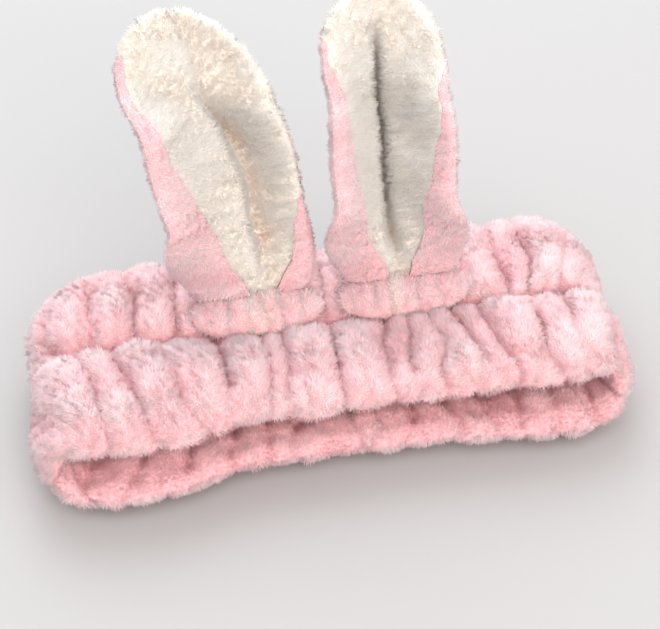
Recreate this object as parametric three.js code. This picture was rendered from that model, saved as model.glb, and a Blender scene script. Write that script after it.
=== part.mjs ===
// Spa headband with two plush rabbit ears, lying flattened on its back wall.
// Millimetres. +X runs along the flattened ring, +Y goes back from its front edge, +Z is up.
// The origin is under the middle of the whole object's box, on the surface that it lies on.
// A plush tube, gathered on two elastics, forms the ring. Each ear folds on the seam at its base.
import * as THREE from "three";

// Driving sizes of the ring.
const bandLength = 230; // flattened ring, end to end
const bandWidth = 92; // along the ring's axis
const wallThickness = 17; // one gathered wall, over its pile
const grooveThickness = 9; // at the middle stitching, over its pile
const grooveFloor = 2.4;
const headGap = 5; // space between the front and the back wall
const centreLength = 120; // middle stretch that stays put when the ends are pulled out
const fabricGap = 0.3; // clearance between touching pieces

// Elastics, their channels and the threads.
const elasticWidth = 20;
const elasticThickness = 1.2;
const channelClearance = 0.7;
const channelBulge = 0.6;
const threadWidth = 1.4;
const threadHeight = 0.9;
const joinWidth = 6; // rolled seam allowance where the ring is closed
const joinHeight = 2.4;
const joinX = 8;

// Ears: one flat pattern, each curled, turned and leant by its own amount, in degrees.
const earLength = 108;
const earHalfWidth = 35; // half the flat pattern at its widest
const earLean = 25; // back from upright
const earSeamY = 14; // the seam that each ear folds on, behind the groove
const earSeamLength = 42;
const earSeamRadius = 1.6;
const skinThickness = 3.2; // plush with its pile
const waddingThickness = 3;
const layerGap = 0.9; // between the wadding and each skin
const seamAllowance = 3; // the wadding stops this far inside the ear's sides
const baseThinning = 0.45; // share of its thickness that an ear keeps at its seam
const earsMiddleX = 2;
const earsOverlap = 14; // of the two flat patterns side by side: their curl makes the room
const ears = [
  { side: "left", way: -1, sideways: -9.5, turn: 14, curl: 74 },
  { side: "right", way: 1, sideways: -1, turn: 3, curl: 94 },
];
for (const ear of ears) {
  ear.x = earsMiddleX + ear.way * (earHalfWidth - earsOverlap / 2);
}

// The strip of ear cloth sewn down between the groove and each ear.
const tabWidth = 46;
const tabDepth = 8.6;
const tabHeight = 3;

const pink = { color: 0xf0b9c0, roughness: 0.95, metalness: 0 };
const white = { color: 0xf3f0e8, roughness: 0.95, metalness: 0 };
const elasticWhite = { color: 0xe9e7e1, roughness: 0.8, metalness: 0 };
const padWhite = { color: 0xf6f5f1, roughness: 1, metalness: 0 };
const pinkThread = { color: 0xe3a2ab, roughness: 0.7, metalness: 0 };

// Worked out from the sizes above.
const halfWall = wallThickness / 2;
const backWallZ = halfWall;
const loopRadius = (wallThickness + headGap) / 2; // centreline of each end loop
const frontWallZ = backWallZ + 2 * loopRadius;
const loopX = bandLength / 2 - loopRadius - halfWall;
const halfRing = 2 * loopX + Math.PI * loopRadius; // front centre round one end to the back centre
const rowCentre = bandWidth / 4;
const channelWidth = elasticWidth + 2 * channelClearance;
const channelHeight = elasticThickness + 2 * channelClearance;
const frontTopZ = frontWallZ + halfWall;
const hingeZ = frontTopZ + fabricGap + earSeamRadius;

const headband = new THREE.Group();

function addPiece(name, geometry, finish, parent = headband) {
  const mesh = new THREE.Mesh(geometry, new THREE.MeshStandardMaterial(finish));
  mesh.name = name;
  parent.add(mesh);
  return mesh;
}

// The ring's centreline: travel is the way round it from the front centre, positive towards +X.
function ringFrame(travel) {
  const side = travel < 0 ? -1 : 1;
  const way = Math.abs(travel);
  const loopEnd = loopX + Math.PI * loopRadius;
  if (way <= loopX) {
    return { x: side * way, z: frontWallZ, outX: 0, outZ: 1 };
  }
  if (way >= loopEnd) {
    return { x: side * (loopX - (way - loopEnd)), z: backWallZ, outX: 0, outZ: -1 };
  }
  const turn = (way - loopX) / loopRadius;
  const outX = side * Math.sin(turn);
  const outZ = Math.cos(turn);
  const middleZ = (frontWallZ + backWallZ) / 2;
  return { x: side * loopX + loopRadius * outX, z: middleZ + loopRadius * outZ, outX, outZ };
}

// Lays a straight strip round the ring: its x is across the band, y outwards, z the way round.
function wrapOnRing(strip) {
  const place = strip.getAttribute("position");
  for (let i = 0; i < place.count; i += 1) {
    const across = place.getX(i);
    const out = place.getY(i);
    const at = ringFrame(place.getZ(i));
    place.setXYZ(i, at.x + out * at.outX, across, at.z + out * at.outZ);
  }
  return strip;
}

// A straight strip of the given outline, from one way round the ring to another.
function stripAlong(outline, from, to, steps) {
  const strip = new THREE.ExtrudeGeometry(outline, {
    depth: to - from,
    steps,
    bevelEnabled: false,
    curveSegments: 3,
  });
  strip.translate(0, 0, from);
  return wrapOnRing(strip);
}

// One side of the groove, from its floor up to the flat of a row.
const rowFlatFrom = rowCentre - bandWidth / 10;
const rowFlatTo = rowCentre + bandWidth / 10;
const grooveSide = new THREE.QuadraticBezierCurve(
  new THREE.Vector2(grooveFloor / 2, grooveThickness / 2),
  new THREE.Vector2((grooveFloor / 2 + rowFlatFrom) / 2, halfWall),
  new THREE.Vector2(rowFlatFrom, halfWall),
);

// The cover's section: two puffed rows with the stitched groove between, and a channel in each.
function coverOutline() {
  const rim = bandWidth / 2;
  const floor = grooveSide.v0;
  const bend = grooveSide.v1.x;
  const outline = new THREE.Shape();
  outline.moveTo(floor.x, -floor.y);
  outline.quadraticCurveTo(bend, -halfWall, rowFlatFrom, -halfWall);
  outline.lineTo(rowFlatTo, -halfWall);
  outline.quadraticCurveTo(rim, -halfWall, rim, 0);
  outline.quadraticCurveTo(rim, halfWall, rowFlatTo, halfWall);
  outline.lineTo(rowFlatFrom, halfWall);
  outline.quadraticCurveTo(bend, halfWall, floor.x, floor.y);
  outline.lineTo(-floor.x, floor.y);
  outline.quadraticCurveTo(-bend, halfWall, -rowFlatFrom, halfWall);
  outline.lineTo(-rowFlatTo, halfWall);
  outline.quadraticCurveTo(-rim, halfWall, -rim, 0);
  outline.quadraticCurveTo(-rim, -halfWall, -rowFlatTo, -halfWall);
  outline.lineTo(-rowFlatFrom, -halfWall);
  outline.quadraticCurveTo(-bend, -halfWall, -floor.x, -floor.y);
  for (const row of [-1, 1]) {
    outline.holes.push(channelOutline(row * rowCentre));
  }
  return outline;
}

// A channel bulges a little above and below its elastic.
function channelOutline(across) {
  const left = across - channelWidth / 2;
  const right = across + channelWidth / 2;
  const half = channelHeight / 2;
  const bulge = half + channelBulge;
  const channel = new THREE.Path();
  channel.moveTo(left, -half);
  channel.quadraticCurveTo(across, -bulge, right, -half);
  channel.lineTo(right, half);
  channel.quadraticCurveTo(across, bulge, left, half);
  return channel;
}

function rectangle(across, out, width, height) {
  const shape = new THREE.Shape();
  shape.moveTo(across - width / 2, out - height / 2);
  shape.lineTo(across + width / 2, out - height / 2);
  shape.lineTo(across + width / 2, out + height / 2);
  shape.lineTo(across - width / 2, out + height / 2);
  shape.closePath();
  return shape;
}

// The four stretches of the ring, each with the gap that separates it from the next.
const cut = centreLength / 2;
const stretches = [
  { name: "front_center", from: -cut, to: cut, steps: 1 },
  { name: "right_end", from: cut, to: halfRing - cut, steps: 20 },
  { name: "back_center", from: halfRing - cut, to: halfRing + cut, steps: 1 },
  { name: "left_end", from: cut - halfRing, to: -cut, steps: 20 },
];

// The back centre runs straight through the ring's closing seam, so it is laid flat directly.
function stretchOfRing(outline, stretch) {
  const from = stretch.from + fabricGap / 2;
  const to = stretch.to - fabricGap / 2;
  if (stretch.name !== "back_center") {
    return stripAlong(outline, from, to, stretch.steps);
  }
  const strip = new THREE.ExtrudeGeometry(outline, {
    depth: to - from,
    bevelEnabled: false,
    curveSegments: 3,
  });
  strip.translate(0, 0, (from - to) / 2);
  const place = strip.getAttribute("position");
  for (let i = 0; i < place.count; i += 1) {
    place.setXYZ(i, place.getZ(i), place.getX(i), backWallZ + place.getY(i));
  }
  return strip;
}

function addCoverAndElastics() {
  const cover = coverOutline();
  for (const stretch of stretches) {
    addPiece(`cover_${stretch.name}`, stretchOfRing(cover, stretch), pink);
    for (const row of [["upper", 1], ["lower", -1]]) {
      const band = rectangle(row[1] * rowCentre, 0, elasticWidth, elasticThickness);
      addPiece(`elastic_${row[0]}_${stretch.name}`, stretchOfRing(band, stretch), elasticWhite);
    }
  }
}

// The run of stitching in the groove lies on the cover's outer face.
function addChannelStitching() {
  const out = grooveThickness / 2 + fabricGap + threadHeight / 2;
  for (const stretch of stretches) {
    const side = stretch.name === "back_center" ? -1 : 1;
    const thread = rectangle(0, side * out, threadWidth, threadHeight);
    addPiece(`channel_stitching_${stretch.name}`, stretchOfRing(thread, stretch), pinkThread);
  }
}

// The seam that closes the ring is a soft ridge across the inner face of the back wall.
function addBackJoin() {
  const ridge = new THREE.CylinderGeometry(1, 1, 2 * rowFlatTo, 16, 1);
  ridge.scale(joinWidth / 2, 1, joinHeight / 2);
  ridge.translate(joinX, 0, wallThickness + fabricGap + joinHeight / 2);
  addPiece("back_join_seam", ridge, pink);
}

// Half the flat width of an ear as a share of its widest, from its base (0) to its tip (1).
const earPattern = new THREE.SplineCurve([
  new THREE.Vector2(0, 0.56),
  new THREE.Vector2(0.22, 0.8),
  new THREE.Vector2(0.5, 1),
  new THREE.Vector2(0.75, 0.92),
  new THREE.Vector2(0.91, 0.63),
  new THREE.Vector2(0.98, 0.36),
  new THREE.Vector2(1, 0.16),
]).getPoints(90);

function earHalfWidthAt(along) {
  const next = Math.max(1, earPattern.findIndex((point) => point.x >= along));
  const before = earPattern[next - 1];
  const after = earPattern[next];
  const share = (along - before.x) / (after.x - before.x);
  return earHalfWidth * THREE.MathUtils.lerp(before.y, after.y, share);
}

// The ear is flat in its seam, most curled above it, and opens again at the tip.
function earCurlAt(along, curl) {
  const fromBase = THREE.MathUtils.lerp(0.06, 1, THREE.MathUtils.smoothstep(along, 0.02, 0.36));
  const toTip = 1 - 0.45 * THREE.MathUtils.smoothstep(along, 0.55, 1);
  return THREE.MathUtils.degToRad(curl) * fromBase * toTip;
}

// Rows of a layer lie closer together towards the rounded tip.
const earRows = 14;

function towardsTip(row) {
  return 1 - (1 - row) ** 1.25;
}

// How far a layer's two faces lie behind the ear's middle: the wadding is the middle layer (0),
// with the lining in front of it (-1) and the plush back behind it (1).
function layerFaces(layer, thinned) {
  const core = (thinned * waddingThickness) / 2;
  if (layer === 0) {
    return { front: -core, back: core };
  }
  const near = layer * (core + layerGap);
  const far = near + layer * thinned * skinThickness;
  return { front: Math.min(near, far), back: Math.max(near, far) };
}

// One layer of an ear: a box bent into a curled leaf that turns and leans more with its height.
// The wadding leaves out the first and last row, and is cut back from the sides by a margin.
function earLayer(ear, layer, skippedRows, margin) {
  const rows = earRows - 2 * skippedRows;
  const box = new THREE.BoxGeometry(2, 1, 1, 14, 1, rows);
  const place = box.getAttribute("position");
  const axis = new THREE.Vector3(0, 0, 1);
  const point = new THREE.Vector3();
  for (let i = 0; i < place.count; i += 1) {
    const along = towardsTip((skippedRows + rows * (place.getZ(i) + 0.5)) / earRows);
    const rise = along * earLength;
    const rooted = THREE.MathUtils.smoothstep(along, 0, 0.3);
    const thinned = THREE.MathUtils.lerp(baseThinning, 1, THREE.MathUtils.smoothstep(along, 0, 0.15));
    const faces = layerFaces(layer, thinned);
    const curl = earCurlAt(along, ear.curl);
    const half = earHalfWidthAt(along);
    const angle = curl * place.getX(i) * (1 - margin / half);
    const middle = half / curl;
    const reach = middle + (place.getY(i) > 0 ? faces.back : faces.front);
    point.set(reach * Math.sin(angle), reach * Math.cos(angle) - middle, rise);
    point.applyAxisAngle(axis, THREE.MathUtils.degToRad(ear.turn * rooted));
    point.x += rise * Math.tan(THREE.MathUtils.degToRad(ear.sideways));
    place.setXYZ(i, point.x, point.y, point.z + earSeamRadius + fabricGap);
  }
  return box;
}

function addEar(ear) {
  const frame = new THREE.Group();
  frame.position.set(ear.x, earSeamY, hingeZ);
  frame.rotation.x = THREE.MathUtils.degToRad(-earLean);
  headband.add(frame);
  addPiece(`${ear.side}_ear_wadding`, earLayer(ear, 0, 1, seamAllowance), padWhite, frame);
  addPiece(`${ear.side}_ear_back`, earLayer(ear, 1, 0, 0), pink, frame);
  addPiece(`${ear.side}_ear_lining`, earLayer(ear, -1, 0, 0), white, frame);
}

// The tab lies on the slope of the groove, in front of the ear.
function addEarTab(ear) {
  const slope = grooveSide.getPoint(0.42);
  const tilt = grooveSide.getTangent(0.42).angle();
  const lift = tabHeight / 2 + fabricGap + 0.1;
  const tab = new THREE.CylinderGeometry(1, 1, tabWidth, 14, 1);
  tab.rotateZ(Math.PI / 2);
  tab.scale(1, tabDepth / 2, tabHeight / 2);
  tab.rotateX(tilt);
  tab.translate(ear.x, slope.x - lift * Math.sin(tilt), frontWallZ + slope.y + lift * Math.cos(tilt));
  addPiece(`${ear.side}_ear_tab`, tab, pink);
}

// The ear's gathered edge is rolled and hand-sewn to the band along the line that it folds on.
function addEarSeam(ear) {
  const seam = new THREE.CylinderGeometry(earSeamRadius, earSeamRadius, earSeamLength, 12, 1);
  seam.rotateZ(Math.PI / 2);
  seam.translate(ear.x, earSeamY, hingeZ);
  addPiece(`${ear.side}_ear_seam`, seam, pinkThread);
}

addCoverAndElastics();
addChannelStitching();
addBackJoin();
for (const ear of ears) {
  addEar(ear);
  addEarTab(ear);
  addEarSeam(ear);
}

// The ears lean back past the band, so the origin goes under the middle of the whole object.
const outer = new THREE.Box3().setFromObject(headband, true);
headband.position.y = -(outer.min.y + outer.max.y) / 2;

export default headband;
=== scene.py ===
import math

import bmesh
import bpy
import numpy as np
from mathutils import Matrix, Vector
from mathutils.kdtree import KDTree


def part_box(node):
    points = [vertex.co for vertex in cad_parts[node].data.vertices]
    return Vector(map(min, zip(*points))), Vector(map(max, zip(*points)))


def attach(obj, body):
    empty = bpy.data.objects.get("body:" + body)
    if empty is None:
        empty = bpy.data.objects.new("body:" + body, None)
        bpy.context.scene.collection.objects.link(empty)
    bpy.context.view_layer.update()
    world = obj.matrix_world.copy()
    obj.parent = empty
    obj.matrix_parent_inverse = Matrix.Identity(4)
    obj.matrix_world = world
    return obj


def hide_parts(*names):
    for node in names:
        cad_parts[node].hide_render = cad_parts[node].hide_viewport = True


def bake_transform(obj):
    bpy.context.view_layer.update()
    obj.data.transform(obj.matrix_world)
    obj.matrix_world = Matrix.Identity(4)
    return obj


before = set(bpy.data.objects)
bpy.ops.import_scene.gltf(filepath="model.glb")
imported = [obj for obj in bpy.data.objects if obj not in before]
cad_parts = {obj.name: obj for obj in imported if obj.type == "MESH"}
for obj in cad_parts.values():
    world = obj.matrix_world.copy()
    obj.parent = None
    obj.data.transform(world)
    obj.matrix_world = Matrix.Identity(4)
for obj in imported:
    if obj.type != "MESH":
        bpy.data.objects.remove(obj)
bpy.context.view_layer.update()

# The gathered cover: a tube of coral fleece (brushed polyester plush) run up on two elastics, so
# that each of its two rows bunches into soft puffs between sharp folds. It is sewn in two halves
# that meet in a fold at the front centre and in the closing seam at the back.
front_low, front_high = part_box("cover_front_center")
back_low, back_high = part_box("cover_back_center")
ring_y = (front_low.y + front_high.y) / 2
front_z = (front_low.z + front_high.z) / 2
back_z = (back_low.z + back_high.z) / 2
middle_z = (front_z + back_z) / 2
half_wall = (front_high.z - front_low.z) / 2
loop_radius = (front_z - back_z) / 2
loop_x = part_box("cover_right_end")[1].x - loop_radius - half_wall
half_ring = 2 * loop_x + math.pi * loop_radius
join_low, join_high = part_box("back_join_seam")
join_x = (join_low.x + join_high.x) / 2
band_half = (front_high.y - front_low.y) / 2
row_reach = 0.437 * band_half  # skin, from the groove to the middle of a row
row_rim = 0.375 * band_half  # and from there to its rim, in a fold
rim_swell = 0.0050
groove_skin = 0.0013
fold_gap = (0.0100, 0.0205)  # between two folds of a row
cover_steps = 190  # of the skin, round each half
cover_cap = 0.0018  # the furthest that the simulation moves the skin
lowest_skin = 0.0012  # above the table, on crushed pile


def smooth_step(value, low, high):
    """0 below low, 1 above high, and an S-curve between."""
    share = np.clip((value - low) / (high - low), 0, 1)
    return share * share * (3 - 2 * share)


def soft_waves(seed, wavelength, channels=1):
    """A smooth random field in space: a sum of waves of about that length, in metres."""
    rng = np.random.default_rng(seed)
    ways = rng.normal(size=(9, 3))
    ways /= np.linalg.norm(ways, axis=1)[:, None]
    ways *= 2 * math.pi / (wavelength * rng.uniform(0.7, 1.5, (9, 1)))
    phases = rng.uniform(0, 2 * math.pi, 9)
    weights = rng.normal(size=(9, channels)) * 0.45
    return lambda points: np.sin(points @ ways.T + phases) @ weights


def round_the_ring(travel, out, across):
    """Places points by the way round from the front centre (+ towards +X), outwards and across."""
    side = np.where(travel < 0, -1.0, 1.0)
    way = np.abs(travel)
    turn = np.clip((way - loop_x) / loop_radius, 0, math.pi)
    straight = np.minimum(way, loop_x) - np.maximum(way - loop_x - math.pi * loop_radius, 0)
    x = side * (straight + (loop_radius + out) * np.sin(turn))
    z = middle_z + (loop_radius + out) * np.cos(turn)
    return np.stack([x, ring_y + across + 0 * x, z], -1)


def fold_places(seed):
    """Where one row's folds cross it, as travel; both halves end in a fold."""
    rng = np.random.default_rng(seed)
    places = []
    for start, stop in ((-half_ring - join_x, 0.0), (0.0, half_ring - join_x)):
        gaps = []
        while sum(gaps) < stop - start:
            gaps.append(rng.uniform(*fold_gap))
        steps = np.cumsum(gaps) * (stop - start) / sum(gaps)
        places += [start, *(start + steps[:-1])]
    return np.array([*places, half_ring - join_x])


folds = {"upper": fold_places(11), "lower": fold_places(24)}
fold_wander = soft_waves(5, 0.046)
fold_wander_fine = soft_waves(6, 0.013)
puff_size = soft_waves(8, 0.024)
fold_depth = soft_waves(10, 0.018)
pucker = soft_waves(9, 0.0062)


def swell(row, travel, around, across=0.0):
    """How far each point of a row is puffed: 0 in a fold, about 1 on a crown."""
    near_end = np.minimum(np.abs(travel), np.minimum(np.abs(travel + half_ring + join_x),
                                                     np.abs(travel - half_ring + join_x)))
    key = np.stack([travel, around, np.full_like(travel, 0.3 if row == "upper" else 0.7)], -1)
    wander = 0.0030 * fold_wander(key)[..., 0] + 0.0009 * fold_wander_fine(key)[..., 0]
    if row == "lower":  # the folds of the spread near left slant towards the middle
        wander = wander - 0.30 * across * smooth_step(-travel, 0.010, 0.055)
    moved = travel + wander * smooth_step(near_end, 0.0, 0.020)
    places = folds[row]
    at = np.clip(np.searchsorted(places, moved) - 1, 0, len(places) - 2)
    width = places[at + 1] - places[at]
    share = np.clip((moved - places[at]) / width, 0, 1)
    size = np.clip(0.35 + 0.65 * width / 0.0150, 0.62, 1.1)
    rise = (1 - np.abs(2 * share - 1) ** 2.3) ** 0.8
    depth = np.clip(0.84 + 0.34 * fold_depth(key)[..., 0], 0.5, 1.0)
    rise = 1 - depth * (1 - rise)
    return rise * size * (1 + 0.16 * puff_size(key)[..., 0])


def lay(points):
    """The way the loose ring lies: its near left spreads, its ends round off, its front wall arches."""
    x = points[..., 0]
    across = points[..., 1] - ring_y
    low = 1 - smooth_step(points[..., 2], middle_z - 0.012, middle_z + 0.012)
    left = smooth_step(-x, 0.030, 0.072) * (1 - 0.75 * smooth_step(-x, 0.085, 0.118))
    right = smooth_step(x, 0.030, 0.080)
    near = smooth_step(-across, 0.010, band_half)
    far = smooth_step(across, 0.010, band_half)
    corner = np.where(x < 0, 1.05 * smooth_step(-x, 0.080, 0.118), smooth_step(x, 0.088, 0.118))
    laid = points.copy()
    laid[..., 1] -= near * (left * (0.0085 + 0.0015 * low) + right * (0.001 + 0.004 * low))
    laid[..., 1] += near * 0.007 * smooth_step(x, 0.085, 0.118)
    laid[..., 0] -= 0.0030 * smooth_step(x, 0.070, 0.118)
    laid[..., 1] += far * (0.002 * left + 0.003 * right - 0.011 * corner)
    arch = smooth_step(np.abs(x), 0.03, 0.075) * (1 - smooth_step(np.abs(x), 0.085, 0.115))
    laid[..., 2] += 0.0016 * (1 - low) * arch
    floor = 0.0016  # the skin lies flat on its crushed pile where it rests
    under = np.maximum(floor + 0.0022 - laid[..., 2], 0)
    laid[..., 2] += under - 0.0022 * (1 - np.exp(-under / 0.0022))
    return laid


# The section goes out of the groove over the upper row, back along its inside, and so through the
# lower row to the groove again.
quarter = 26
turns = math.pi * (1 - (np.arange(quarter) / quarter))
section = [("upper", 1, t) for t in turns]
section += [("upper", -1, math.pi - t) for t in turns]
section += [("lower", -1, t) for t in turns]
section += [("lower", 1, math.pi - t) for t in turns]
section.append(section[0])
squareness = 2 / 2.3


def cover_half(start, stop):
    """(points, swell) of one half of the cover, as rows round the ring by columns of the section."""
    travel = np.linspace(start, stop, cover_steps)
    points = np.zeros((len(travel), len(section), 3))
    puffs = np.zeros(points.shape[:2])
    for column, (row, face, turn) in enumerate(section):
        way = 1 if row == "upper" else -1
        around = np.full_like(travel, face * turn * 0.012)
        nearness = math.cos(turn)
        puff = swell(row, travel, around, row_reach * (1 + nearness))
        rimness = float(smooth_step(nearness, 0.1, 0.95))
        puff = puff + (0.88 - puff) * (0.66 if face > 0 else 0.5) * rimness
        flat = abs(nearness) ** squareness * (1 if nearness > 0 else -1)
        slim = 1 - 0.2 * smooth_step(np.abs(np.abs(travel) - half_ring / 2), 0.030, 0.0)
        reach = row_reach + (row_rim + rim_swell * puff if nearness > 0 else row_reach) * flat
        thick = (0.0026 + 0.0066 * puff) * slim if face > 0 else 0.0022 + 0.0038 * puff
        rise = thick * abs(math.sin(turn)) ** squareness
        rise = np.sqrt(rise ** 2 + (groove_skin * max(-nearness, 0) ** 3) ** 2)
        points[:, column] = round_the_ring(travel, face * rise, way * reach)
        groove = smooth_step(np.array(-nearness), 0.8, 1.0)
        # puffs sinks in the groove, which shortens the pile there and sets its painted shade.
        puffs[:, column] = puff * (1 - 0.75 * groove)
    points[:, -1] = points[:, 0]
    puffs[:, -1] = puffs[:, 0]
    shake = pucker(points)[..., 0] * 0.00035
    points += shake[..., None] * outward(points, True)
    points[:, -1] = points[:, 0]
    return lay(points), np.clip(puffs, 0, 1.2)


def outward(points, closed):
    """Unit normals of a grid of points; closed where its last column is its first again."""
    along = np.gradient(points, axis=0)
    across = np.gradient(points, axis=1)
    if closed:
        across[:, 0] = across[:, -1] = points[:, 1] - points[:, -2]
    facing = np.cross(along, across)
    return facing / np.maximum(np.linalg.norm(facing, axis=-1), 1e-12)[..., None]


def cloth_from(points):
    """A bmesh grid moved on to the points, with doubled rows and poles merged."""
    rows, columns = points.shape[:2]
    cloth = bmesh.new()
    bmesh.ops.create_grid(cloth, x_segments=columns - 1, y_segments=rows - 1, size=1)
    wide = max(v.co.x for v in cloth.verts)
    tall = max(v.co.y for v in cloth.verts)
    for vert in cloth.verts:
        column = round((vert.co.x / wide + 1) / 2 * (columns - 1))
        row = round((vert.co.y / tall + 1) / 2 * (rows - 1))
        vert.co = points[row, column]
    bmesh.ops.remove_doubles(cloth, verts=cloth.verts, dist=1e-6)
    return cloth


settle_frames = 20


def settle(points, held, cap, pressure=4.0):
    """A grid of cloth after a cloth simulation under light pressure, no point moved past cap."""
    rows, columns = (np.unique(np.linspace(0, size - 1, size // 2).round().astype(int))
                     for size in points.shape[:2])
    coarse = points[np.ix_(rows, columns)]
    shape = cloth_from(coarse)
    bmesh.ops.recalc_face_normals(shape, faces=shape.faces)
    mesh = bpy.data.meshes.new("settling")
    shape.to_mesh(mesh)
    shape.free()
    cloth = bpy.data.objects.new("settling", mesh)
    bpy.context.scene.collection.objects.link(cloth)
    tree = KDTree(len(mesh.vertices))
    for vert in mesh.vertices:
        tree.insert(vert.co, vert.index)
    tree.balance()
    match = np.array([tree.find(Vector(place))[1] for place in coarse.reshape(-1, 3)])
    pins = cloth.vertex_groups.new(name="held")
    for vertex, hold in zip(match, held[np.ix_(rows, columns)].ravel()):
        pins.add([int(vertex)], float(hold), "REPLACE")
    modifier = cloth.modifiers.new("cloth", "CLOTH")
    modifier.settings.quality = 5
    modifier.settings.vertex_group_mass = "held"
    modifier.settings.use_pressure = True
    modifier.settings.uniform_pressure_force = pressure
    modifier.settings.effector_weights.gravity = 0
    modifier.point_cache.frame_start = 1
    modifier.point_cache.frame_end = settle_frames
    for step in range(settle_frames):
        bpy.context.scene.frame_set(step + 1)
    swelled = cloth.evaluated_get(bpy.context.evaluated_depsgraph_get()).data
    after = np.zeros(len(mesh.vertices) * 3)
    swelled.vertices.foreach_get("co", after)
    moved = after.reshape(-1, 3)[match].reshape(coarse.shape) - coarse
    bpy.data.objects.remove(cloth)
    bpy.data.meshes.remove(mesh)
    bpy.context.scene.frame_set(1)
    far = np.maximum(np.linalg.norm(moved, axis=-1), 1e-9)[..., None]
    moved *= cap * np.tanh(far / cap) / far
    up, over = np.arange(points.shape[0]), np.arange(points.shape[1])
    tall = np.stack([[np.interp(up, rows, moved[:, c, k]) for k in range(3)]
                     for c in range(len(columns))], 1)
    wide = np.stack([[np.interp(over, columns, tall[k, :, r]) for k in range(3)] for r in up])
    return points + wide.transpose(0, 2, 1)


def add_piece(name, shape, finish):
    """A smooth-shaded object from a bmesh, which is freed."""
    bmesh.ops.recalc_face_normals(shape, faces=shape.faces)
    mesh = bpy.data.meshes.new(name)
    shape.to_mesh(mesh)
    shape.free()
    mesh.shade_smooth()
    mesh.materials.append(finish)
    piece = bpy.data.objects.new(name, mesh)
    bpy.context.scene.collection.objects.link(piece)
    return piece


def linear(code):
    """A linear colour from an sRGB hex code."""
    parts = [int(code[i:i + 2], 16) / 255 for i in (1, 3, 5)]
    return [p / 12.92 if p <= 0.04045 else ((p + 0.055) / 1.055) ** 2.4 for p in parts] + [1.0]


def add_node(material, kind, settings=None, links=None):
    """Adds a node; settings go to its sockets or properties, links feed its inputs."""
    node = material.node_tree.nodes.new(kind)
    for key, value in (settings or {}).items():
        if isinstance(key, str) and hasattr(node, key):
            setattr(node, key, value)
        else:
            node.inputs[key].default_value = value
    for key, source in (links or {}).items():
        material.node_tree.links.new(source, node.inputs[key])
    return node


def new_finish(name, settings):
    """(material, its Principled node) with uniform values set on the shader itself."""
    material = bpy.data.materials.new(name)
    material.use_nodes = True
    shader = material.node_tree.nodes["Principled BSDF"]
    for key, value in settings.items():
        shader.inputs[key].default_value = value
    return material, shader


def feed(material, source, target):
    """Links one socket to another."""
    material.node_tree.links.new(source, target)


def knit_ground(name, dark, light):
    """Knitted backing of the plush, seen only between the fibres: rows of 0.9 mm loops."""
    material, shader = new_finish(name, {"Roughness": 0.95, "Specular IOR Level": 0.15})
    place = add_node(material, "ShaderNodeTexCoord")
    mottle = add_node(material, "ShaderNodeTexNoise", {"Scale": 90.0, "Detail": 4.0},
                      {"Vector": place.outputs["Object"]})
    tint = add_node(material, "ShaderNodeMix", {"data_type": "RGBA", 6: linear(dark), 7: linear(light)},
                    {0: mottle.outputs["Fac"]})
    loops = add_node(material, "ShaderNodeTexVoronoi", {"Scale": 1100.0},
                     {"Vector": place.outputs["Object"]})
    bump = add_node(material, "ShaderNodeBump", {"Strength": 0.5, "Distance": 0.0003},
                    {"Height": loops.outputs["Distance"]})
    feed(material, tint.outputs[2], shader.inputs["Base Color"])
    feed(material, bump.outputs["Normal"], shader.inputs["Normal"])
    return material


def plush_pile(name, deep, middle, pale, tips, glow, sheen):
    """Brushed polyester fibre: u runs from painted shade (deep, in folds and hollows) to pale; v runs
    root to tip.
    """
    material, shader = new_finish(name, {
        "Roughness": 0.85, "Specular IOR Level": 0.12, "Sheen Weight": sheen,
        "Sheen Roughness": 0.45, "Sheen Tint": linear(glow)})
    lengthways = add_node(material, "ShaderNodeUVMap", {"uv_map": "OFBake"})
    parts = add_node(material, "ShaderNodeSeparateXYZ", {}, {"Vector": lengthways.outputs["UV"]})
    ramp = add_node(material, "ShaderNodeValToRGB", {}, {"Fac": parts.outputs["X"]})
    ramp.color_ramp.elements[0].color = linear(deep)
    ramp.color_ramp.elements[1].color = linear(pale)
    ramp.color_ramp.elements.new(0.5).color = linear(middle)
    fade = add_node(material, "ShaderNodeMath", {"operation": "MULTIPLY", 1: 0.6},
                    {0: parts.outputs["Y"]})
    blend = add_node(material, "ShaderNodeMix", {"data_type": "RGBA", 7: linear(tips)},
                     {0: fade.outputs[0], 6: ramp.outputs["Color"]})
    feed(material, blend.outputs[2], shader.inputs["Base Color"])
    return material


pink_ground = knit_ground("pink_plush_backing", "#efb6ba", "#f6c9cc")
# The pink pile's deep colour is painted shade for folds, grooves and hollows.
pink_pile = plush_pile("pink_coral_fleece", "#e48a92", "#fac7cb", "#ffe8e9", "#fff1f1", "#ffdfe2", 0.1)

# One tuft of fibres is a fine three-sided spike, the shape that is copied over the whole cloth.
tuft = bmesh.new()
bmesh.ops.create_cone(tuft, cap_ends=True, segments=3, radius1=1, radius2=0, depth=1)
bmesh.ops.translate(tuft, verts=tuft.verts, vec=(0, 0, 0.5))
bmesh.ops.remove_doubles(tuft, verts=tuft.verts, dist=1e-5)
tuft.verts.index_update()
tuft_corners = np.array([vert.co for vert in tuft.verts])
tuft_faces = [[vert.index for vert in face.verts] for face in tuft.faces]
tuft.free()
lean_broad = soft_waves(31, 0.019, 3)
lean_clump = soft_waves(32, 0.0036, 3)
length_clump = soft_waves(33, 0.0045)
tone_patch = soft_waves(34, 0.016)


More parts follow.
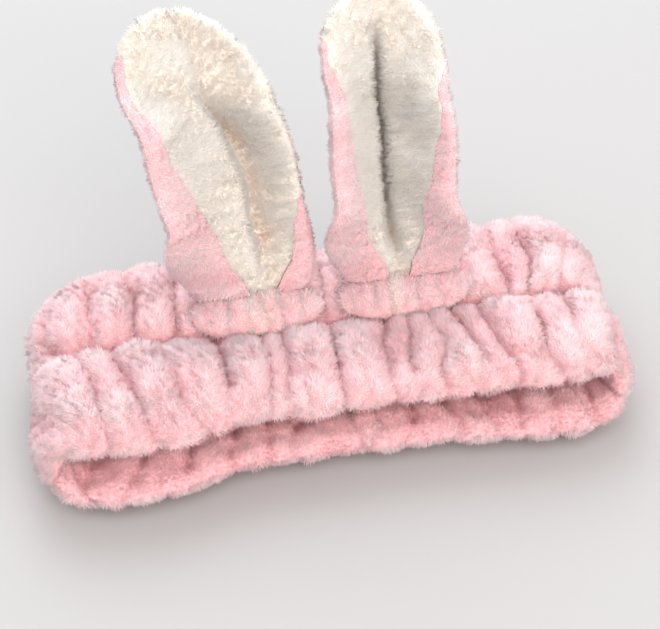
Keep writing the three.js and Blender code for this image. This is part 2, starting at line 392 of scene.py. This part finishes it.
def copies(name, corners, faces, finish, face_uv=None, normals=None):
    """One mesh of many copies: corners is copies by corners by 3, faces index one copy."""
    count, each = corners.shape[:2]
    flat = np.concatenate([np.array(face) for face in faces])
    sizes = np.array([len(face) for face in faces])
    mesh = bpy.data.meshes.new(name)
    mesh.vertices.add(count * each)
    mesh.vertices.foreach_set("co", corners.astype(np.float32).ravel())
    mesh.loops.add(count * len(flat))
    loops = (np.arange(count)[:, None] * each + flat[None]).ravel()
    mesh.loops.foreach_set("vertex_index", loops.astype(np.int32))
    mesh.polygons.add(count * len(sizes))
    starts = np.concatenate([[0], np.cumsum(np.tile(sizes, count))[:-1]])
    mesh.polygons.foreach_set("loop_start", starts.astype(np.int32))
    mesh.polygons.foreach_set("use_smooth", np.ones(count * len(sizes), bool))
    mesh.update(calc_edges=True)
    if face_uv is not None:
        chart = mesh.uv_layers.new(name="OFBake")
        chart.data.foreach_set("uv", face_uv.astype(np.float32).ravel())
    if normals is not None:
        mesh.normals_split_custom_set_from_vertices(normals.reshape(-1, 3))
    mesh.materials.append(finish)
    piece = bpy.data.objects.new(name, mesh)
    bpy.context.scene.collection.objects.link(piece)
    return piece


def scatter(points, normals, tone, length, density, seed):
    """Roots of tufts spread evenly over a grid of points: density is per square millimetre."""
    a, b = points[:-1, :-1], points[:-1, 1:]
    c, d = points[1:, 1:], points[1:, :-1]
    area = 0.5 * np.linalg.norm(np.cross(c - a, d - b), axis=-1) * 1e6
    share = (area * (density[:-1, :-1] + density[1:, 1:]) / 2).ravel()
    count = int(share.sum())
    rng = np.random.default_rng(seed)
    steps = (np.arange(count) + rng.random(count)) * (share.sum() / count)
    cell = np.clip(np.searchsorted(np.cumsum(share), steps), 0, len(share) - 1)
    row, column = np.divmod(cell, points.shape[1] - 1)
    u, v = rng.random((2, count))

    def spread(values):
        weights = ((1 - u) * (1 - v), u * (1 - v), u * v, (1 - u) * v)
        ways = ((0, 0), (0, 1), (1, 1), (1, 0))
        parts = [values[row + r, column + k] for r, k in ways]
        if values.ndim == 3:
            weights = [w[:, None] for w in weights]
        return sum(w * p for w, p in zip(weights, parts))

    facing = spread(normals)
    facing /= np.maximum(np.linalg.norm(facing, axis=1), 1e-9)[:, None]
    return {"root": spread(points), "facing": facing, "tone": spread(tone), "length": spread(length)}


def grow(name, patches, finish, seed, width=0.00026, combed=(0, 0, 0), wild=1.0):
    """The pile of some patches of cloth, one tuft from each root, laid the way it is combed."""
    root, facing, tone, length = (np.concatenate([p[k] for p in patches])
                                  for k in ("root", "facing", "tone", "length"))
    rng = np.random.default_rng(seed)
    count = len(root)
    # The pile leans in broad sweeps, in small clumps and a little at random.
    lean = 0.24 * lean_broad(root) + 0.26 * lean_clump(root) + 0.14 * rng.normal(size=(count, 3))
    lean = wild * lean + np.array(combed)
    lean -= (lean * facing).sum(1)[:, None] * facing
    reach = length * (1 + 0.18 * length_clump(root)[:, 0] + 0.16 * rng.normal(size=count))
    reach = np.clip(reach, 0.0009, 0.0055)
    other = np.cross(facing, rng.normal(size=(count, 3)))
    other /= np.linalg.norm(other, axis=1)[:, None]
    third = np.cross(facing, other)
    thick = width * rng.uniform(0.75, 1.25, count)
    high = tuft_corners[:, 2]
    upright = 1 / np.sqrt(1 + (lean ** 2).sum(1) * 0.5)
    sunk = -0.0004
    radial = (tuft_corners[None, :, 0, None] * other[:, None]
              + tuft_corners[None, :, 1, None] * third[:, None])
    risen = (sunk + reach * upright)[:, None, None] * high[None, :, None] * facing[:, None]
    leant = reach[:, None, None] * (high ** 1.5)[None, :, None] * lean[:, None] * 0.62
    corners = root[:, None] + risen + leant + thick[:, None, None] * radial
    corners[..., 2] = np.maximum(corners[..., 2], 0.0002 + 0.0006 * high)
    normals = facing[:, None] + 0.45 * radial + 0.35 * lean[:, None] * high[None, :, None]
    normals /= np.linalg.norm(normals, axis=-1)[..., None]
    # Each tuft's share along u: the painted shade given at its root, plus random tone in patches and per
    # tuft.
    shade = np.clip(tone + 0.09 * tone_patch(root)[:, 0] + 0.10 * rng.normal(size=count), 0.02, 0.98)
    chart = []
    for face in tuft_faces:
        for spot, vertex in enumerate(face):
            if max(high[face]) < 0.01:  # the foot of the tuft
                side, rise = ((-0.005, 0.0), (0.005, 0.0), (0.0, 0.02))[spot]
            else:
                side, rise = 0.005 * np.sin(vertex * 2.1 + 0.4), high[vertex] * 0.98 + 0.01
            chart.append(np.stack([shade + side, np.full(count, rise)], -1))
    return copies(name, corners, tuft_faces, finish, np.stack(chart, 1), normals)


rooms = {"upper_outer": (0, quarter), "upper_inner": (quarter, 2 * quarter),
         "lower_inner": (2 * quarter, 3 * quarter), "lower_outer": (3 * quarter, 4 * quarter)}
ear_side = {"left": -1, "right": 1}
tab_boxes = {side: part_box(f"{side}_ear_tab") for side in ear_side}


def under_tab(points):
    """1 where an ear's tab presses on the cover, 0 elsewhere."""
    pressed = np.zeros(points.shape[:2])
    for low, high in tab_boxes.values():
        middle = (low + high) / 2
        x = np.abs(points[..., 0] - middle.x) / 0.024
        y = np.abs(points[..., 1] - middle.y - 0.001) / 0.0085
        top = points[..., 2] > middle_z
        pressed = np.maximum(pressed, top * (1 - smooth_step(np.maximum(x, y), 0.75, 1.15)))
    return pressed


covers = {}
for half, body, span in (("left", "left_end", (-half_ring - join_x, 0.0)),
                         ("right", "right_end", (0.0, half_ring - join_x))):
    points, puffs = cover_half(*span)
    held = np.tile([float(math.cos(turn) < -0.93) for _, _, turn in section], (len(points), 1))
    held[points[..., 2] < 0.0030] = 1
    held[:3] = held[-3:] = 1
    points = settle(points, held, cover_cap)
    points[..., 2] = np.maximum(points[..., 2], lowest_skin)
    pressed = under_tab(points)
    flattened = np.minimum(points[..., 2], front_z + 0.0075 - 0.0035 * pressed)
    points[..., 2] = np.where(pressed > 0, flattened, points[..., 2])
    normals = outward(points, True)
    centre = round_the_ring(np.linspace(*span, len(points)), 0.0, 0.0)
    if (normals * (points - centre[:, None])).sum() < 0:
        normals = -normals
    tube = cloth_from(points)
    bmesh.ops.holes_fill(tube, edges=[e for e in tube.edges if e.is_boundary])
    cover = add_piece(f"cover_{half}", tube, pink_ground)
    nodes = [f"cover_{half}_end", "cover_front_center", "cover_back_center"]
    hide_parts(*nodes)
    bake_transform(cover)
    covers[half] = (points, normals)
    under = np.clip(-normals[..., 2], 0, 1) * (points[..., 2] < 0.012)
    length = 0.0016 + 0.0009 * np.clip(puffs, 0, 1) - 0.0008 * under
    for place, (first, last) in rooms.items():
        part = (slice(None), slice(first, last + 1))
        inside = place.endswith("inner")
        thin = np.where(under[part] > 0.6, 0.45, 1.0)
        density = (1.7 if inside else 4.3) * thin
        # Painted shade: the pile darker in the folds and the groove between the rows, where puffs is
        # low, and darker on the inner walls of the ring.
        tone = 0.80 * np.clip(puffs[part], 0, 1) ** 1.4 - (0.34 if inside else 0)
        seed = 100 + first + (0 if half == "left" else 7)
        roots = scatter(points[part], normals[part], tone, length[part] * (0.85 if inside else 1),
                        density, seed)
        pile = grow(f"cover_pile_{half}_{place}", [roots], pink_pile, seed + 500)
        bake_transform(pile)

# The elastics: white woven rubber-and-polyester tape, inside the rows. Lengthwise ribs 1.1 mm
# apart are crossed by fine picks.
elastic_tape, tape_shader = new_finish("woven_elastic_tape", {"Roughness": 0.7, "Sheen Weight": 0.1})
tape_place = add_node(elastic_tape, "ShaderNodeTexCoord")
tape_ribs = add_node(elastic_tape, "ShaderNodeTexWave", {"bands_direction": "Y", "Scale": 286.0},
                     {"Vector": tape_place.outputs["Object"]})
tape_picks = add_node(elastic_tape, "ShaderNodeTexWave", {"bands_direction": "X", "Scale": 520.0},
                      {"Vector": tape_place.outputs["Object"]})
tape_weave = add_node(elastic_tape, "ShaderNodeMath", {"operation": "MULTIPLY"},
                      {0: tape_ribs.outputs["Fac"], 1: tape_picks.outputs["Fac"]})
tape_tint = add_node(elastic_tape, "ShaderNodeMix",
                     {"data_type": "RGBA", 6: linear("#d9d6ce"), 7: linear("#f2f0ea")},
                     {0: tape_weave.outputs[0]})
tape_bump = add_node(elastic_tape, "ShaderNodeBump", {"Strength": 0.6, "Distance": 0.0003},
                     {"Height": tape_weave.outputs[0]})
feed(elastic_tape, tape_tint.outputs[2], tape_shader.inputs["Base Color"])
feed(elastic_tape, tape_bump.outputs["Normal"], tape_shader.inputs["Normal"])
for name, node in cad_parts.items():
    if name.startswith("elastic_"):
        node.material_slots[0].material = elastic_tape

# The channel stitching: a row of 2.6 mm lockstitches in the groove between the rows, of twisted
# pink polyester thread pulled well down into the pile.
pink_thread, thread_shader = new_finish("twisted_polyester_thread",
                                        {"Roughness": 0.5, "Sheen Weight": 0.15})
thread_place = add_node(pink_thread, "ShaderNodeTexCoord")
thread_ply = add_node(pink_thread, "ShaderNodeTexWave",
                      {"bands_direction": "DIAGONAL", "Scale": 700.0, "Distortion": 1.0},
                      {"Vector": thread_place.outputs["Object"]})
thread_tint = add_node(pink_thread, "ShaderNodeMix",
                       {"data_type": "RGBA", 6: linear("#cf8891"), 7: linear("#e8aab1")},
                       {0: thread_ply.outputs["Fac"]})
feed(pink_thread, thread_tint.outputs[2], thread_shader.inputs["Base Color"])
stitch_length, stitch_gap, thread_radius = 0.0026, 0.0034, 0.00028
stitch = bmesh.new()
bmesh.ops.create_uvsphere(stitch, u_segments=6, v_segments=4, radius=1)
stitch_corners = np.array([vert.co for vert in stitch.verts])
stitch_faces = [[vert.index for vert in face.verts] for face in stitch.faces]
stitch.free()
for half, body, span in (("left", "left_end", (-half_ring - join_x, 0.0)),
                         ("right", "right_end", (0.0, half_ring - join_x))):
    places = np.arange(span[0] + stitch_gap, span[1] - stitch_gap / 2, stitch_gap)
    local_travel = places[:, None] + stitch_corners[None, :, 0] * stitch_length / 2
    local_out = groove_skin + 0.0003 + stitch_corners[None, :, 2] * thread_radius + 0 * local_travel
    local_across = stitch_corners[None, :, 1] * thread_radius + 0 * local_travel
    corners = lay(round_the_ring(local_travel, local_out, local_across))
    run = copies(f"channel_stitching_{half}", corners, stitch_faces, pink_thread)
    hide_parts(f"channel_stitching_{half}_end", "channel_stitching_front_center",
                "channel_stitching_back_center")
    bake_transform(run)

# The closing seam of the ring: a rolled seam allowance of the same plush across the inside of the
# back wall, which shows as a lump at its front rim.
join_steps = 40
join_way = np.linspace(-0.90, 0.86, join_steps) * band_half
join_ends = np.sqrt(np.clip(1 - np.abs(np.linspace(-1, 1, join_steps)) ** 6, 0, 1))
join_turns = np.linspace(0, 2 * math.pi, 19)
join_points = np.zeros((join_steps, len(join_turns), 3))
join_z = back_z + 0.0046 - 0.004 * smooth_step(-join_way, 0.65 * band_half, 0.9 * band_half)
join_z -= 0.002 * smooth_step(join_way, 0.65 * band_half, 0.86 * band_half)
lump = 1 + 0.6 * smooth_step(-join_way, 0.45 * band_half, 0.75 * band_half)
join_points[..., 0] = join_x + 0.0034 * np.outer(join_ends * lump, np.cos(join_turns))
join_points[..., 1] = ring_y + join_way[:, None]
join_points[..., 2] = join_z[:, None] + 0.0021 * np.outer(join_ends * lump, np.sin(join_turns))
join_cloth = cloth_from(join_points)
join = add_piece("back_join_seam_roll", join_cloth, pink_ground)
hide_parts("back_join_seam")
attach(join, "band")
join_normals = outward(join_points, True)
if (join_normals[..., 2] * np.sin(join_turns)).sum() < 0:
    join_normals = -join_normals
blank = np.ones(join_points.shape[:2])
join_roots = scatter(join_points, join_normals, 0.5 * blank, 0.0026 * blank,
                     3.0 * blank * (np.sin(join_turns) > -0.5), 61)
join_pile = grow("back_join_pile", [join_roots], pink_pile, 62)
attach(join_pile, "band")

# The ears: a leaf of pink plush sewn to a leaf of white plush, turned right side out over thin
# wadding. The pink edge rolls to the front, and meets over the white towards the gathered base.
white_ground = knit_ground("white_plush_backing", "#efe4d6", "#faf5ec")
# The white pile's deep peach colour is painted shade with a painted reflection of the nearby pink.
white_pile = plush_pile("white_coral_fleece", "#e6c1a8", "#f4eadc", "#fcf8f0", "#fffdf8", "#fffaf2", 0.1)
wadding, wadding_shader = new_finish("polyester_wadding", {"Roughness": 1.0, "Sheen Weight": 0.3})
wadding_place = add_node(wadding, "ShaderNodeTexCoord")
wadding_fluff = add_node(wadding, "ShaderNodeTexNoise", {"Scale": 260.0, "Detail": 6.0},
                         {"Vector": wadding_place.outputs["Object"]})
wadding_tint = add_node(wadding, "ShaderNodeMix",
                        {"data_type": "RGBA", 6: linear("#e6e4df"), 7: linear("#f9f8f5")},
                        {0: wadding_fluff.outputs["Fac"]})
feed(wadding, wadding_tint.outputs[2], wadding_shader.inputs["Base Color"])
ear_length = 0.1080  # of the skin: the pile adds the rest
ear_half_width = 0.0365
ear_cap = 0.0009  # the furthest that the simulation moves a panel
ear_lean = math.radians(25)
ear_root_gap = 0.0012
leaf_along = np.array([0, 0.06, 0.14, 0.24, 0.36, 0.5, 0.62, 0.74, 0.84, 0.91, 0.955, 0.985, 1.0])
leaf_half = np.array([0.56, 0.66, 0.80, 0.92, 0.985, 1.0, 0.97, 0.87, 0.72, 0.56, 0.41, 0.25, 0.0])
# The white runs between these shares of the half width, each from the base up to the rim; past 1
# it wraps round the edge. The slit is where the folded lining dives in, as a path up the ear.
# far_side_shade is painted shade on the lining's lobe past the slit, stronger on the left ear.
ears = {
    "left": {"sideways": -9.5, "turn": 14, "curl": 64, "fold": 0.35, "shift": -0.0035,
             "slit": ((0, 0.12, 0.42, 0.60, 0.74), (0.22, 0.27, 0.38, 0.27, 0.06)),
             "open": (0.60, 0.80), "steep": 0.10, "gentle": 0.40, "lobe": 0.0078, "far_lobe": 0.62,
             "far_side_shade": 0.30,
             "white_left": ((0, 0.1, 0.2, 0.3, 0.45, 0.6, 0.75, 0.88, 0.95),
                            (0.10, 0.20, 0.34, 0.48, 0.68, 0.84, 0.94, 1.0, 1.10)),
             "white_right": ((0, 0.05, 0.1, 0.2, 0.3, 0.4, 0.55),
                             (0.42, 0.56, 0.68, 0.84, 0.95, 1.02, 1.12))},
    "right": {"sideways": 0.6, "turn": 3, "curl": 76, "fold": 0.50, "shift": -0.0035,
              "slit": ((0, 1), (-0.04, -0.04)),
              "open": (0.80, 0.97), "steep": 0.12, "gentle": 0.17, "lobe": 0.0070, "far_lobe": 1.0,
              "far_side_shade": 0.12,
              "white_left": ((0, 0.05, 0.16, 0.3, 0.47, 0.63, 0.73, 0.87, 0.95),
                             (0.20, 0.28, 0.47, 0.66, 0.78, 0.86, 0.93, 1.02, 1.10)),
              "white_right": ((0, 0.05, 0.16, 0.3, 0.47, 0.6, 0.75, 0.9),
                              (0.16, 0.24, 0.49, 0.71, 0.86, 0.94, 1.0, 1.10))},
}
ear_wobble = soft_waves(41, 0.045)


def ear_surface(ear, hinge, along, shares, depth):
    """Places a grid on an ear: rows go up it, shares go across its middle, depth is backwards."""
    fine = np.linspace(-1, 1, 161)
    centre = len(fine) // 2
    points = np.zeros((len(along), shares.shape[1], 3))
    for row, up in enumerate(along):
        half = ear_half_width * np.interp(up, leaf_along, leaf_half)
        curl = math.radians(ear["curl"]) * (0.10 + 0.90 * smooth_step(up, 0.0, 0.34))
        curl *= 1 - 0.50 * smooth_step(up, 0.62, 1.0)
        crease = fine - np.interp(up, *ear["slit"])
        fold = ear["fold"] * (1 - smooth_step(np.array(up), *ear["open"]))
        bend = curl * ((1 - fold) * fine + fold * np.tanh(crease / 0.2))
        step = half * (fine[1] - fine[0])
        side = np.cumsum(np.cos(bend)) * step
        back = -np.cumsum(np.sin(bend)) * step
        side -= side[centre]
        back -= back[centre]
        share = shares[row]
        angle = np.interp(share, fine, bend)
        points[row, :, 0] = np.interp(share, fine, side) + depth[row] * np.sin(angle)
        points[row, :, 1] = np.interp(share, fine, back) + depth[row] * np.cos(angle)
    rise = (along * ear_length)[:, None]
    wobble = ear_wobble(points + rise[..., None])[..., 0]
    points[..., 1] += 0.0016 * wobble * smooth_step(rise, 0.01, 0.05)
    spin = np.radians(ear["turn"]) * smooth_step(along, 0, 0.3)[:, None]
    x = points[..., 0] * np.cos(spin) - points[..., 1] * np.sin(spin)
    y = points[..., 0] * np.sin(spin) + points[..., 1] * np.cos(spin)
    x = x + rise * math.tan(math.radians(ear["sideways"])) + ear["shift"] * smooth_step(rise, 0, 0.03)
    z = rise + ear_root_gap + 0 * x
    return np.stack([hinge.x + x, hinge.y + y * math.cos(ear_lean) + z * math.sin(ear_lean),
                     hinge.z - y * math.sin(ear_lean) + z * math.cos(ear_lean)], -1)


ear_rows = 1 - (1 - np.linspace(0, 1, 60)) ** 1.6
leaf_now = np.interp(ear_rows, leaf_along, leaf_half)
for side, ear in ears.items():
    seam_low, seam_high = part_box(f"{side}_ear_seam")
    hinge = (seam_low + seam_high) / 2
    # Where pink gives way to white, with the slight waver of a sewn and turned edge.
    sewn_wobble = 0.016 * np.sin(ear_rows * 31 + hinge.x * 90) + 0.010 * np.sin(ear_rows * 73)
    edges = [(np.interp(ear_rows, *ear[key]) + sewn_wobble)[:, None]
             for key in ("white_left", "white_right")]
    turn_left, turn_right = (np.arccos(np.minimum(e, 1)) - 4 * np.maximum(e - 1, 0) for e in edges)
    plump = (leaf_now ** 0.7 * (0.45 + 0.55 * smooth_step(ear_rows, 0, 0.15)))[:, None]
    for part, first, last in (("back", -turn_right, math.pi + turn_left),
                              ("lining", math.pi + turn_left, 2 * math.pi - turn_right)):
        columns = 61 if part == "back" else 47
        angle = first + (last - first) * np.linspace(0, 1, columns)[None]
        shares = np.cos(angle)
        around = np.abs(np.sin(angle)) ** 0.85
        front = np.sin(angle) < 0
        off_slit = shares - np.interp(ear_rows, *ear["slit"])[:, None]
        valley = np.exp(-(off_slit / np.where(off_slit < 0, ear["steep"], ear["gentle"])) ** 2)
        valley *= smooth_step(ear_rows, -0.05, 0.16)[:, None]
        valley *= 1 - smooth_step(ear_rows, *ear["open"])[:, None]
        beyond = smooth_step(off_slit, -0.02, 0.10)
        lobe = ear["lobe"] * (1 - (1 - ear["far_lobe"]) * beyond)
        flap = 0.0024 * (1 - smooth_step(ear_rows, 0.1, 0.55))[:, None] * (part == "back")
        front_depth = -0.0005 - lobe * around * plump * (1 - 0.97 * valley) - flap * around
        depth = np.where(front, front_depth, 0.0034 * around * plump)
        points = ear_surface(ear, hinge, ear_rows, shares, depth)
        middle = ear_surface(ear, hinge, ear_rows, shares, depth * 0)
        normals = outward(points, False)
        if (normals * (points - middle)).sum() < 0:
            normals = -normals
        lined = ear_surface(ear, hinge, ear_rows, shares[:, ::-1], 0.74 * depth[:, ::-1])
        held = np.zeros(points.shape[:2])
        held[:, :3] = held[:, -3:] = held[:4] = held[-8:] = 1
        settled = settle(points, held, ear_cap)
        lined += (settled - points)[:, ::-1]
        points = settled
        skin = cloth_from(np.concatenate([points, lined, points[:, :1]], axis=1))
        bmesh.ops.holes_fill(skin, edges=[e for e in skin.edges if e.is_boundary])
        name = f"{side}_ear_{part}"
        piece = add_piece(f"{name}_cloth", skin, pink_ground if part == "back" else white_ground)
        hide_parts(name)
        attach(piece, f"{side}_ear")
        if part == "back":
            # Painted shade: the pink back darker at its foot, where it gathers into the seam.
            tone = 0.66 + 0.20 * smooth_step(ear_rows, 0, 0.3)[:, None] * np.ones_like(shares)
            length = 0.0015 + 0.0006 * around
            density = 3.6 - 0.5 * around
        else:
            # Painted shade: the lining darker in the fold's valley and on the lobe past the slit.
            tone = 0.90 - 0.52 * valley ** 3 - ear["far_side_shade"] * beyond * smooth_step(shares, 1.0, 0.75)
            # Painted shade: darker again at the foot of the ear.
            tone -= 0.12 * (1 - smooth_step(ear_rows, 0.0, 0.2))[:, None]
            length = 0.0019 + 0.0008 * around - 0.0006 * valley
            density = 3.6 + 0 * shares
        ends = (ear_rows < 0.9985)[:, None]
        roots = scatter(points, normals, tone, length, density * ends, 71 + len(name))
        pile = grow(f"{name}_pile", [roots], pink_pile if part == "back" else white_pile,
                    81 + len(name) + ear_side[side], width=0.00028,
                    combed=(0.06 * ear_side[side], 0.04, 0.12), wild=0.9)
        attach(pile, f"{side}_ear")
    inner_rows = ear_rows[3:-4]
    angle = np.linspace(0, 2 * math.pi, 41)[None] + 0 * inner_rows[:, None]
    shares = 0.86 * np.cos(angle)
    depth = (0.0016 + 0.0006 * np.sin(angle)) * plump[3:-4]
    pad = cloth_from(ear_surface(ear, hinge, inner_rows, shares, depth))
    bmesh.ops.holes_fill(pad, edges=[e for e in pad.edges if e.is_boundary])
    filling = add_piece(f"{side}_ear_filling", pad, wadding)
    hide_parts(f"{side}_ear_wadding")
    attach(filling, f"{side}_ear")

# The tabs: the foot of each ear's cloth, sewn down flat between the ear and the groove. A little
# of the white shows at its middle.
for side in ears:
    low, high = tab_boxes[side]
    middle = (low + high) / 2
    lengths = np.linspace(-1, 1, 61)
    turns = np.linspace(0, 2 * math.pi, 41)
    taper = np.clip(1 - np.abs(lengths) ** 3, 0, 1) ** 0.5
    pleats = swell("upper", 0.09 * ear_side[side] + 0.045 * lengths, 0 * lengths)
    pleats = 0.72 + 0.4 * pleats
    deep = 0.0094 * (taper * (0.75 + 0.25 * pleats))[:, None] * np.cos(turns)
    tall = 0.0032 * (taper * pleats)[:, None] * np.sin(turns) + 0.0004
    tilt = math.radians(24)
    points = np.zeros((61, 41, 3))
    points[..., 0] = middle.x + 0.0245 * lengths[:, None]
    points[..., 1] = middle.y + 0.0010 + deep * math.cos(tilt) - tall * math.sin(tilt)
    points[..., 2] = middle.z - 0.0012 + deep * math.sin(tilt) + tall * math.cos(tilt)
    normals = outward(points, True)
    if (normals[..., 2] * np.sin(turns)).sum() < 0:
        normals = -normals
    pad = cloth_from(points)
    piece = add_piece(f"{side}_ear_tab_cloth", pad, pink_ground)
    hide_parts(f"{side}_ear_tab")
    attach(piece, "band")
    blank = np.ones(points.shape[:2])
    # Painted shade: the tab's pile paler on top and darker underneath.
    tone = 0.62 * blank + 0.18 * np.sin(turns)
    density = 3.0 * blank * (np.sin(turns) > -0.3)
    spot, spread, share = (0.0010, 0.0060, 0.55) if side == "left" else (-0.0035, 0.0024, 0.95)
    white = share * np.exp(-((lengths * 0.0245 - spot) / spread) ** 4)[:, None] * blank
    pink_roots = scatter(points, normals, tone, 0.0027 * blank, density * (1 - white), 91)
    white_roots = scatter(points, normals, 0.7 * blank, 0.0028 * blank, density * white, 92)
    for colour, roots, finish in (("pink", pink_roots, pink_pile), ("white", white_roots, white_pile)):
        pile = grow(f"{side}_ear_tab_{colour}_pile", [roots], finish, 93 + ear_side[side])
        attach(pile, "band")

# The ear seams: each ear's raw edge is rolled, gathered and sewn to the band along the line that
# the ear folds on, so it is a soft plush roll.
for side in ears:
    low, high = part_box(f"{side}_ear_seam")
    middle = (low + high) / 2
    lengths = np.linspace(-1, 1, 49)
    turns = np.linspace(0, 2 * math.pi, 19)
    taper = np.clip(1 - np.abs(lengths) ** 8, 0, 1) ** 0.5
    radius = (high.z - low.z) / 2 * taper * (1 + 0.14 * np.sin(lengths * 44))
    points = np.zeros((49, 19, 3))
    points[..., 0] = middle.x + (high.x - low.x) / 2 * lengths[:, None]
    points[..., 1] = middle.y + np.outer(radius, np.cos(turns))
    points[..., 2] = middle.z + np.outer(radius, np.sin(turns))
    normals = outward(points, True)
    if (normals[..., 2] * np.sin(turns)).sum() < 0:
        normals = -normals
    roll = cloth_from(points)
    piece = add_piece(f"{side}_ear_seam_roll", roll, pink_ground)
    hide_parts(f"{side}_ear_seam")
    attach(piece, "band")
    blank = np.ones(points.shape[:2])
    roots = scatter(points, normals, 0.5 * blank, 0.0022 * blank, 3.0 * blank, 95)
    pile = grow(f"{side}_ear_seam_pile", [roots], pink_pile, 96 + ear_side[side])
    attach(pile, "band")

# The table: a plain matt pale board in a bright white room, with one soft light high behind the
# ring and one high in front, so that the shadows are wide and faint.
board, board_shader = new_finish("matt_white_board", {"Roughness": 0.9, "Specular IOR Level": 0.2})
board_place = add_node(board, "ShaderNodeTexCoord")
board_mottle = add_node(board, "ShaderNodeTexNoise", {"Scale": 3.0, "Detail": 3.0},
                        {"Vector": board_place.outputs["Object"]})
board_tint = add_node(board, "ShaderNodeMix",
                      {"data_type": "RGBA", 6: linear("#b3b2b0"), 7: linear("#b7b6b4")},
                      {0: board_mottle.outputs["Fac"]})
feed(board, board_tint.outputs[2], board_shader.inputs["Base Color"])
table_top = bmesh.new()
bmesh.ops.create_grid(table_top, x_segments=1, y_segments=1, size=4)
floor = add_piece("table_top", table_top, board)

world = bpy.data.worlds.new("studio")
world.use_nodes = True
world.node_tree.nodes["Background"].inputs["Color"].default_value = linear("#fbfbff")
world.node_tree.nodes["Background"].inputs["Strength"].default_value = 1.25
bpy.context.scene.world = world


def soft_light(name, place, aim, size, power, colour):
    """A round area light at a place, turned towards its aim."""
    lamp = bpy.data.lights.new(name, "AREA")
    lamp.shape = "DISK"
    lamp.size = size
    lamp.energy = power
    lamp.color = linear(colour)[:3]
    light = bpy.data.objects.new(name, lamp)
    light.location = place
    light.rotation_euler = (Vector(aim) - Vector(place)).to_track_quat("-Z", "Y").to_euler()
    bpy.context.scene.collection.objects.link(light)


soft_light("window", (-0.06, 0.90, 1.20), (0, 0.1, 0.03), 1.2, 13.0, "#f6faff")
soft_light("fill", (0.32, -1.15, 0.90), (0, 0, 0.05), 1.1, 8.5, "#fff1e6")

# The camera looks down at the ring from a little to the left, rolled slightly.
azimuth, elevation, roll = math.radians(-7), math.radians(43), math.radians(2.4)
distance, focal_length = 0.60, 83.4545  # in metres and in millimetres
ring_aside, ring_below = 0.00039, 0.02843  # the ring from the middle of the view
backward = Vector((math.sin(azimuth) * math.cos(elevation), -math.cos(azimuth) * math.cos(elevation),
                   math.sin(elevation)))
right = Vector((math.cos(azimuth), math.sin(azimuth), 0))
upward = backward.cross(right)
rolled_x = right * math.cos(roll) - upward * math.sin(roll)
rolled_y = right * math.sin(roll) + upward * math.cos(roll)
ring_middle = Vector((0, ring_y, 0))
camera_place = ring_middle + distance * backward - ring_aside * rolled_x + ring_below * rolled_y
lens = bpy.data.cameras.new("camera")
lens.sensor_width = 36
lens.lens = focal_length
camera = bpy.data.objects.new("camera", lens)
facing_ring = Matrix((rolled_x, rolled_y, backward)).transposed().to_4x4()
camera.matrix_world = Matrix.Translation(camera_place) @ facing_ring
bpy.context.scene.collection.objects.link(camera)
bpy.context.scene.camera = camera
bpy.context.scene.view_settings.view_transform = "Standard"
